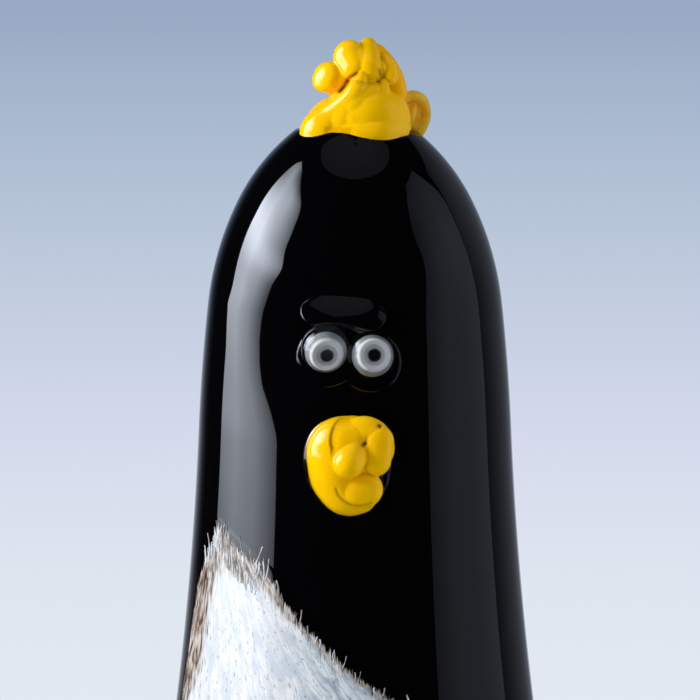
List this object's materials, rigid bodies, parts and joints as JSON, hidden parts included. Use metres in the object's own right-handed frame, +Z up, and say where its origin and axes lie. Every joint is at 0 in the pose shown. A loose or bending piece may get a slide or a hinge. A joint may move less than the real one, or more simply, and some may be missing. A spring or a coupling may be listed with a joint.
{
  "type": "penguin figurine",
  "caption": "Free-standing hand-worked glass penguin: tall rounded black body with a pale belly patch, applied bullseye eyes, and a yellow folded beak and crest.",
  "frame": {"origin": "centre of the flat ground base, in the plane that it stands on", "axes": "+Z up along the body's axis, -Y out of the face with its eyes and beak, +X to the right of a viewer who looks at the face"},
  "size_m": [0.0826, 0.0846, 0.2126],
  "materials": {
    "black_glass": "gloss",
    "white_frit_glass": "gloss",
    "clear_glass": "gloss",
    "yellow_glass": "gloss",
    "amber_glass": "gloss",
    "orange_glass": "gloss",
    "white_glass": "gloss",
    "grey_glass": "gloss"
  },
  "bodies": {
    "root": {"beak_base_fold": "yellow_glass", "beak_bead": "yellow_glass", "beak_clear_foot": "clear_glass", "beak_lower_fold": "yellow_glass", "beak_side_fold": "yellow_glass", "beak_upper_fold": "yellow_glass", "belly_frit": "white_frit_glass", "black_body": "black_glass", "brow_pad": "black_glass", "crest_base_fold": "yellow_glass", "crest_clear_foot": "clear_glass", "crest_curl": "amber_glass", "crest_knob": "yellow_glass", "crest_middle_bead": "yellow_glass", "crest_overhang": "yellow_glass", "crest_petal": "orange_glass", "crest_ridge": "yellow_glass", "crest_side_bead": "yellow_glass", "left_eye_iris": "grey_glass", "left_eye_lens": "clear_glass", "left_eye_pupil": "black_glass", "left_eye_white": "white_glass", "right_eye_iris": "grey_glass", "right_eye_lens": "clear_glass", "right_eye_pupil": "black_glass", "right_eye_white": "white_glass"}
  },
  "joints": []
}
